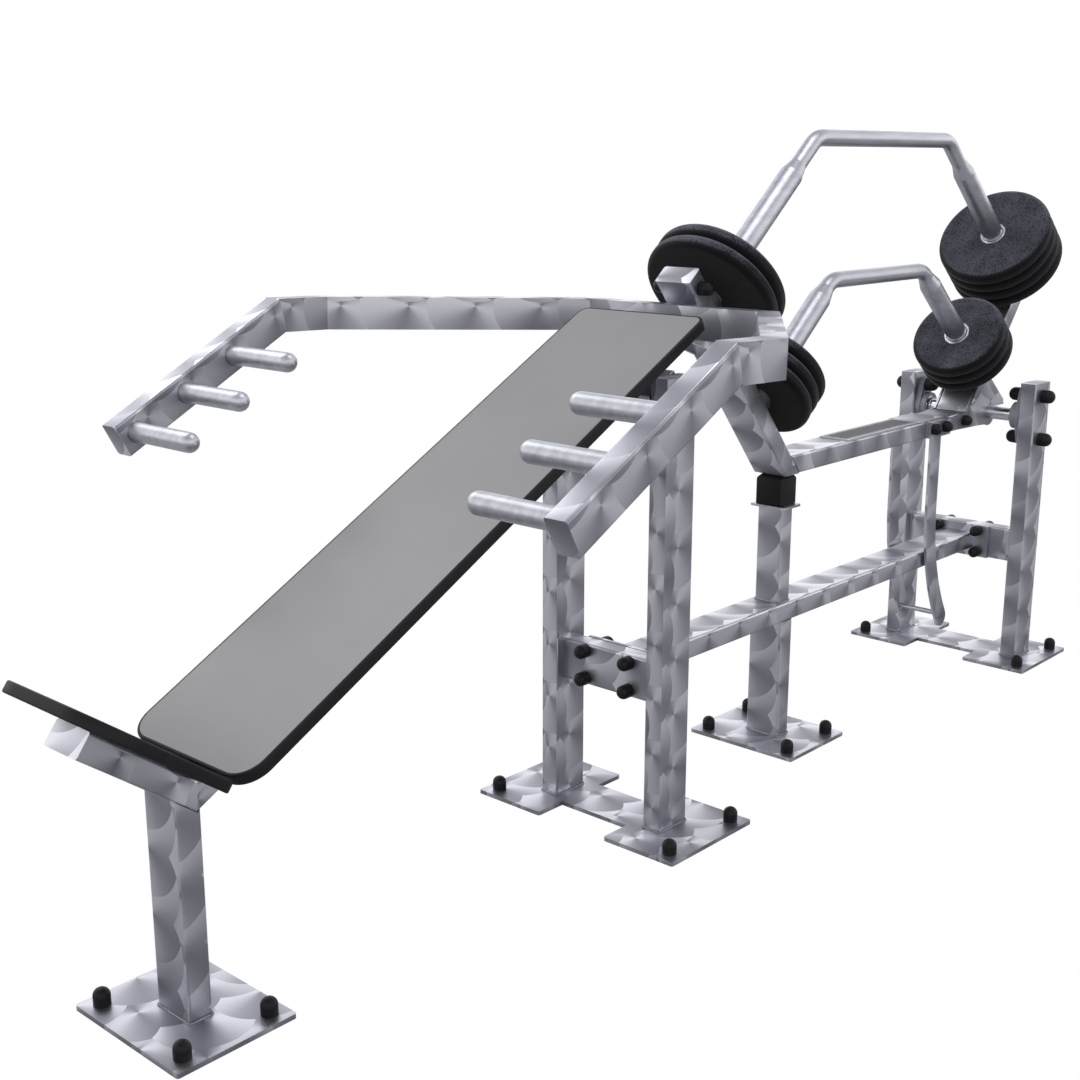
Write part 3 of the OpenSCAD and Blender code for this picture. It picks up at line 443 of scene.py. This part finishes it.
UP, ACROSS = Vector((0, 0, 1)), Vector((0, 1, 0))
HIP = Vector((17 * MM, 0, 371 * MM))
SEAT_LEAN, BACK_LEAN, ARM_LEAN, YOKE_LEAN = -36.6, 28.2, 28.2, -1.8
SEAT_LENGTH, SEAT_GAP, SEAT_THICK, SEAT_CORNER = 247 * MM, 17 * MM, 18 * MM, 85 * MM
BACK_LENGTH, BACK_GAP, BACK_THICK, BACK_CORNER = 1156 * MM, 14 * MM, 20 * MM, 45 * MM
BOARD_WIDTH, FAR_CORNER = 283 * MM, 20 * MM
PLATE_TOP, LOWER_BEAM_TOP, BUFFER_POST_WIDE = 8 * MM, 304 * MM, 60 * MM
FRONT_COLUMN, MIDDLE_POST, REAR_COLUMN = (970 * MM, 126 * MM), (1494 * MM, 0), (2356 * MM, 159 * MM)
TUBE_WIDE, TUBE_NARROW, TUBE_ROUND = 80 * MM, 40 * MM, 4.5 * MM
LEG_FOOT, LEG_LEAN = Vector((1467.9 * MM, 0, 577.4 * MM)), 130
MAST_FOOT, MAST_LEAN = Vector((2242 * MM, 0, 618 * MM)), 50
SPINDLE_LEAN = 40
ARM_BEND = Vector((597 * MM, 0, 964 * MM))
ARM_LENGTH, ARM_FACE_Y, ARM_HEIGHT = 399 * MM, 478 * MM, 60 * MM
GRIP_FIRST, GRIP_PITCH, GRIP_RADIUS = 30.5 * MM, 116 * MM, 17 * MM
COLLAR_RADIUS, COLLAR_LENGTH = 31 * MM, 24 * MM
SLEEVE_RADIUS, DISC_PLAY, DISC_THICK, DISC_GAP = 24.15 * MM, 0.6 * MM, 30 * MM, 0.3 * MM
OUTER_LEG_AT, INNER_LEG_AT = 436.3 * MM, 163.6 * MM
OUTER_MAST_AT, INNER_MAST_AT = 419.5 * MM, 145.6 * MM


def spindles():
    """Foot and lean of the four spindles, with the discs on each."""
    leg_face = LEG_FOOT + direction(SPINDLE_LEAN) * TUBE_NARROW
    leg, mast = direction(LEG_LEAN), direction(MAST_LEAN)
    return {
        "outer_front": (leg_face + leg * OUTER_LEG_AT, SPINDLE_LEAN, 2),
        "inner_front": (leg_face + leg * INNER_LEG_AT, SPINDLE_LEAN, 3),
        "outer_rear": (MAST_FOOT + mast * OUTER_MAST_AT, 180 - SPINDLE_LEAN, 4),
        "inner_rear": (MAST_FOOT + mast * INNER_MAST_AT, 180 - SPINDLE_LEAN, 3),
    }


# ---------------------------------------------------------------- operators

class BENCH_OT_steel(bpy.types.Operator):
    """Gives the square tubes, plates, round tubes and small steel parts their finishes"""
    bl_idname = "bench.steel"
    bl_label = "Steel Finishes"

    def execute(self, context):
        by_lean = {
            0: ["seat_base_plate", "front_base_plate", "middle_base_plate", "rear_base_plate", "front_crossbar",
                "rear_crossbar", "lower_beam", "lever_beam", "gusset_plates", "stirrup_packers"],
            90: ["seat_post", "front_column_left", "front_column_right", "middle_lower_post", "middle_upper_post",
                 "rear_column_left", "rear_column_right", "stirrup_bars"],
            SEAT_LEAN: ["seat_beam"],
            BACK_LEAN: ["backrest_beam", "backrest_crossbar", "handle_arm_left", "handle_arm_right"],
            LEG_LEAN: ["front_leg", "yoke_brackets"],
            MAST_LEAN: ["rear_mast"],
            YOKE_LEAN: ["handle_yoke"],
        }
        for lean, names in by_lean.items():
            dress(names, swirled_steel(f"stainless_rotary_ground_painted_sheen_{lean:+.0f}", lean))
        dress(["outer_hoop", "inner_hoop", "stop_collars", "pivot_hub"],
              polished_round_steel("stainless_belt_polished_tube"))
        dress(["spindle_sleeves"], polished_round_steel("stainless_belt_polished_sleeve", -SPINDLE_LEAN))
        dress(["hand_grips", "stirrup_rod"], polished_round_steel("stainless_fine_polished_grip", 90))
        dress(["bearing_inserts", "pivot_shaft"], ground_steel())
        dress(["bearing_housings"], cast_housing())
        dress(["frame_bolts", "lever_bolts", "anchor_nuts", "board_screws"], zinc_plate())
        dress(["frame_bolt_caps", "lever_bolt_caps", "anchor_caps"],
              smooth_black("polyethylene_moulded_cap", 1.2 * MM, ("#0b0b0d", "#151517"), 0.45))
        return {"FINISHED"}


class BENCH_OT_boards(bpy.types.Operator):
    """Makes the seat and backrest boards of compact laminate"""
    bl_idname = "bench.boards"
    bl_label = "Boards"

    def execute(self, context):
        sizes = settings("bench_boards")
        faces, core = laminate_face(), laminate_core()
        seat_front = HIP - direction(SEAT_LEAN) * (SEAT_GAP + SEAT_LENGTH)
        back_foot = HIP + direction(BACK_LEAN) * BACK_GAP
        for name, node, foot, lean, length, thick, big_round in (
                ("seat_board_laminate", "seat_board", seat_front, SEAT_LEAN, SEAT_LENGTH, SEAT_THICK, SEAT_CORNER),
                ("backrest_board_laminate", "backrest_board", back_foot, BACK_LEAN, BACK_LENGTH, BACK_THICK,
                 BACK_CORNER)):
            bm = bmesh.new()
            verts = block(bm, Matrix.Translation((length / 2, 0, 0)), (length, BOARD_WIDTH, thick))
            upright = edges_of(verts, UP)
            for end, radius in ((0.0, big_round), (length, FAR_CORNER)):
                corner = [e for e in upright if e.is_valid and abs(e.verts[0].co.x - end) < 1e-5]
                bevel(bm, corner, radius, 12)
            flats = [f for f in bm.faces if abs(f.normal.z) > 0.99]
            rim = list({e for f in flats for e in f.edges})
            bevel(bm, rim, sizes.edge_round, 4)
            bm.normal_update()
            for f in bm.faces:
                f.material_index = 1
            flats = [f for f in bm.faces if abs(f.normal.z) > 0.9999 and len(f.verts) > 8]
            bmesh.ops.inset_region(bm, faces=flats, thickness=sizes.face_inset, use_even_offset=True)
            for f in flats:
                f.material_index = 0
            bm.transform(placed(foot, direction(lean), direction(lean + 90)))
            finish_mesh(name, bm, [faces, core], BENCH, [node])
        return {"FINISHED"}


class BENCH_OT_discs(bpy.types.Operator):
    """Gives the rubber discs their granulate finish and sets a steel bush in each"""
    bl_idname = "bench.discs"
    bl_label = "Discs"

    def execute(self, context):
        sizes = settings("bench_discs")
        rubber = granulate_rubber()
        steel = ground_steel()
        proud = 0.1 * MM
        bore, rim = SLEEVE_RADIUS + DISC_PLAY - proud, sizes.bush_radius
        low, high, lip = -proud, DISC_THICK + proud, 0.8 * MM
        profile = [(bore, low + lip), (bore + lip, low), (rim, low), (rim, high),
                   (bore + lip, high), (bore, high - lip)]
        for name, (foot, lean, count) in spindles().items():
            for n in range(count):
                node = f"{name}_disc_{n + 1}"
                dress([node], rubber)
                bm = bmesh.new()
                start = foot + direction(lean) * (COLLAR_LENGTH + DISC_GAP + n * (DISC_THICK + DISC_GAP))
                lathe(bm, profile, placed(start, ACROSS, direction(lean)))
                finish_mesh(f"{node}_bush", bm, [steel], node)
        return {"FINISHED"}


class BENCH_OT_buffer(bpy.types.Operator):
    """Makes the moulded rubber buffer under the front leg"""
    bl_idname = "bench.buffer"
    bl_label = "Buffer"

    def execute(self, context):
        low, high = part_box("rubber_buffer")
        middle = (low + high) / 2
        size = high - low
        bm = bmesh.new()
        verts = block(bm, Matrix.Translation((middle.x, middle.y, low.z)), size)
        top = [v for v in verts if v.co.z > middle.z]
        slope, edge_round, least_angle = 9 * MM, 2.5 * MM, 0.3
        bevel(bm, [e for e in edges_of(verts) if all(v in top for v in e.verts)], slope, 1)
        bm.normal_update()
        bevel(bm, [e for e in bm.edges if e.calc_face_angle(0) > least_angle], edge_round, 3)
        black = smooth_black("rubber_moulded_buffer", 1.6 * MM, ("#08080a", "#121214"), 0.6)
        finish_mesh("rubber_buffer_moulded", bm, [black], BENCH, ["rubber_buffer"])
        return {"FINISHED"}


class BENCH_OT_nameplate(bpy.types.Operator):
    """Adds the blank dark field of the plate on the lever beam"""
    bl_idname = "bench.nameplate"
    bl_label = "Nameplate"

    def execute(self, context):
        low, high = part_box("nameplate")
        dress(["nameplate"], polished_round_steel("stainless_satin_plate", 0.0))
        border, film, corner = 5 * MM, 0.15 * MM, 7 * MM
        line_in, line_wide = 3.5 * MM, 1.2 * MM
        size = (high.x - low.x - 2 * border, high.y - low.y - 2 * border, film)
        bm = bmesh.new()
        centre = ((low.x + high.x) / 2, (low.y + high.y) / 2, high.z)
        verts = block(bm, Matrix.Translation(centre), size)
        bevel(bm, edges_of(verts, UP), corner, 6)
        bm.normal_update()
        top = [f for f in bm.faces if f.normal.z > 0.99]
        bmesh.ops.inset_region(bm, faces=top, thickness=line_in, use_even_offset=True)
        line = bmesh.ops.inset_region(bm, faces=top, thickness=line_wide, use_even_offset=True)["faces"]
        for f in line:
            f.material_index = 1
        finish_mesh("nameplate_field", bm, [etched_plate(), ground_steel()], LEVER)
        return {"FINISHED"}


class BENCH_OT_welds(bpy.types.Operator):
    """Lays fillet welds where tubes meet plates and other tubes"""
    bl_idname = "bench.welds"
    bl_label = "Welds"

    def execute(self, context):
        width = settings("bench_steel").weld_width
        metal = weld_metal()
        skirts = [((0, 0), TUBE_NARROW, TUBE_WIDE, PLATE_TOP), (MIDDLE_POST, TUBE_NARROW, TUBE_WIDE, PLATE_TOP),
                  (MIDDLE_POST, TUBE_NARROW, BUFFER_POST_WIDE, LOWER_BEAM_TOP)]
        skirts += [((x, side * y), TUBE_WIDE, TUBE_NARROW, PLATE_TOP)
                   for x, y in (FRONT_COLUMN, REAR_COLUMN) for side in (1, -1)]
        bm = bmesh.new()
        for (x, y), length, wide, z in skirts:
            verts = block(bm, Matrix.Translation((x, y, z)), (length + 2 * width, wide + 2 * width, width))
            bevel(bm, edges_of(verts, UP), TUBE_ROUND + width, 5)
            top = z + width - 1e-6
            rim = [e for e in bm.edges if all(v.co.z > top and abs(v.co.x - x) < length
                                              and abs(v.co.y - y) < wide for v in e.verts)]
            bevel(bm, rim, 0.8 * width, 3)
        finish_mesh("bench_welds", bm, [metal], BENCH, smooth=50)
        bm = bmesh.new()
        bead = [(math.cos(a), math.sin(a)) for a in (i * math.tau / 10 for i in range(10))]
        half = 0.55 * width
        for foot, lean, _ in spindles().values():
            lathe(bm, [(COLLAR_RADIUS + half * c, half * s) for c, s in bead],
                  placed(foot, ACROSS, direction(lean)), 72)
        arm_front = ARM_BEND - direction(ARM_LEAN) * ARM_LENGTH
        for side in (-1, 1):
            for i in range(3):
                root = arm_front + direction(ARM_LEAN) * (GRIP_FIRST + i * GRIP_PITCH)
                root += ACROSS * side * ARM_FACE_Y - direction(ARM_LEAN + 90) * ARM_HEIGHT / 2
                lathe(bm, [(GRIP_RADIUS + half * c, half * s) for c, s in bead],
                      placed(root, direction(ARM_LEAN), -side * ACROSS), 60)
        finish_mesh("lever_welds", bm, [metal], LEVER, smooth=60)
        return {"FINISHED"}


class BENCH_OT_stage(bpy.types.Operator):
    """Sets up the pale floor, soft studio light and camera"""
    bl_idname = "bench.stage"
    bl_label = "Stage"

    def execute(self, context):
        scene = context.scene
        middle = Vector((1.2, 0, 0.4))
        below = 0.5 * MM
        bm = bmesh.new()
        bmesh.ops.create_grid(bm, x_segments=2, y_segments=2, size=40,
                              matrix=Matrix.Translation((middle.x, 0, -below)))
        mesh = bpy.data.meshes.new("studio_floor")
        bm.to_mesh(mesh)
        bm.free()
        floor = bpy.data.objects.new("studio_floor", mesh)
        scene.collection.objects.link(floor)
        paint, tree, shader = new_material("studio_floor_paint", roughness=0.9, Specular_IOR_Level=0.0)
        shader.inputs["Base Color"].default_value = srgb("#b5b5b6")
        # Seen as plain white, while the steel mirrors the greyer paint
        white = add(tree, "ShaderNodeEmission")
        seen = add(tree, "ShaderNodeLightPath").outputs["Is Camera Ray"]
        both = add(tree, "ShaderNodeMixShader", {0: seen, 1: shader.outputs[0], 2: white.outputs[0]})
        tree.links.new(both.outputs[0], tree.nodes["Material Output"].inputs["Surface"])
        mesh.materials.append(paint)

        world = bpy.data.worlds.new("studio_world")
        world.use_nodes = True
        scene.world = world
        tree = world.node_tree
        sky = tree.nodes["Background"]
        white = add(tree, "ShaderNodeBackground")
        white.inputs["Color"].default_value = srgb("#ffffff")
        white.inputs["Strength"].default_value = 1.05
        coord = add(tree, "ShaderNodeTexCoord")
        height = add(tree, "ShaderNodeSeparateXYZ", {0: coord.outputs["Generated"]}).outputs[2]
        shade = ramp(tree, height, (0.0, "#ffffff"), (0.45, "#f0f0f3"), (0.65, "#b4b4ba"), (1.0, "#94949a"))
        tree.links.new(shade, sky.inputs["Color"])
        sky.inputs["Strength"].default_value = 1.6
        seen = add(tree, "ShaderNodeLightPath").outputs["Is Camera Ray"]
        both = add(tree, "ShaderNodeMixShader", {0: seen, 1: sky.outputs[0], 2: white.outputs[0]})
        tree.links.new(both.outputs[0], tree.nodes["World Output"].inputs["Surface"])

        for name, place, size, watts in (("back_softbox", (0.5, 2.6, 3.4), 2.0, 32),
                                         ("overhead_softbox", (1.4, -0.6, 3.6), 1.6, 22)):
            light = bpy.data.lights.new(name, "AREA")
            light.shape, light.size, light.energy = "SQUARE", size, watts
            lamp = bpy.data.objects.new(name, light)
            lamp.location = place
            lamp.rotation_euler = (middle - Vector(place)).to_track_quat("-Z", "Y").to_euler()
            scene.collection.objects.link(lamp)

        lens = bpy.data.cameras.new("studio_camera")
        lens.lens, lens.sensor_width, lens.clip_start, lens.clip_end = 50, 36, 0.05, 200
        camera = bpy.data.objects.new("studio_camera", lens)
        camera.location = (-1.0921, -1.6931, 1.202)
        camera.rotation_euler = (math.radians(90 - 14.153), 0, math.radians(-47.643))
        scene.collection.objects.link(camera)
        scene.camera = camera
        scene.view_settings.view_transform = "Standard"
        return {"FINISHED"}


class BENCH_PT_panel(bpy.types.Panel):
    bl_idname = "BENCH_PT_panel"
    bl_label = "Bench Press"
    bl_space_type = "VIEW_3D"
    bl_region_type = "UI"
    bl_category = "Bench Press"

    def draw(self, context):
        for name in GROUPS:
            box = self.layout.box()
            for key in settings(name).bl_rna.properties.keys():
                if key not in {"rna_type", "name"}:
                    box.prop(settings(name), key)
        for step in STEPS:
            self.layout.operator(step.bl_idname)


GROUPS = {"bench_boards": BenchBoards, "bench_steel": BenchSteel, "bench_discs": BenchDiscs}
STEPS = (BENCH_OT_steel, BENCH_OT_boards, BENCH_OT_discs, BENCH_OT_buffer, BENCH_OT_nameplate,
         BENCH_OT_welds, BENCH_OT_stage)
CLASSES = (*GROUPS.values(), *STEPS, BENCH_PT_panel)


def register():
    for kind in CLASSES:
        bpy.utils.register_class(kind)
    for name, group in GROUPS.items():
        setattr(bpy.types.Scene, name, bpy.props.PointerProperty(type=group))


def unregister():
    for name in GROUPS:
        delattr(bpy.types.Scene, name)
    for kind in reversed(CLASSES):
        bpy.utils.unregister_class(kind)


def main():
    register()
    for step in STEPS:
        family, action = step.bl_idname.split(".")
        getattr(getattr(bpy.ops, family), action)()


if __name__ == "__main__":
    main()
